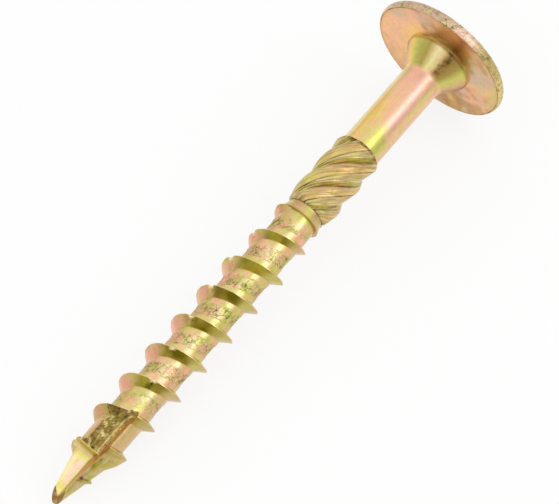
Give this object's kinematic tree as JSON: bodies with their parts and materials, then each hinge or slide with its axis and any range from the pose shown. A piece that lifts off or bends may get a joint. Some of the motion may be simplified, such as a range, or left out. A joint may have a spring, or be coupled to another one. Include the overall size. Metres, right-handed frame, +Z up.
{
  "type": "washer head wood screw",
  "caption": "Wood screw with a wide washer head, conical collar, plain shank, twisted shank cutter, coarse right-hand thread and a notched self-cutting point, lying at rest.",
  "frame": {"origin": "middle of the lying screw's box, on the surface that it lies on", "axes": "+X along the lying screw from its tip towards its head, +Z up"},
  "size_m": [0.0831, 0.0198, 0.0198],
  "materials": {
    "plated_steel": "yellow zinc passivation, iridescent gold with pink and green"
  },
  "bodies": {
    "root": {"screw": "plated_steel"}
  },
  "joints": []
}
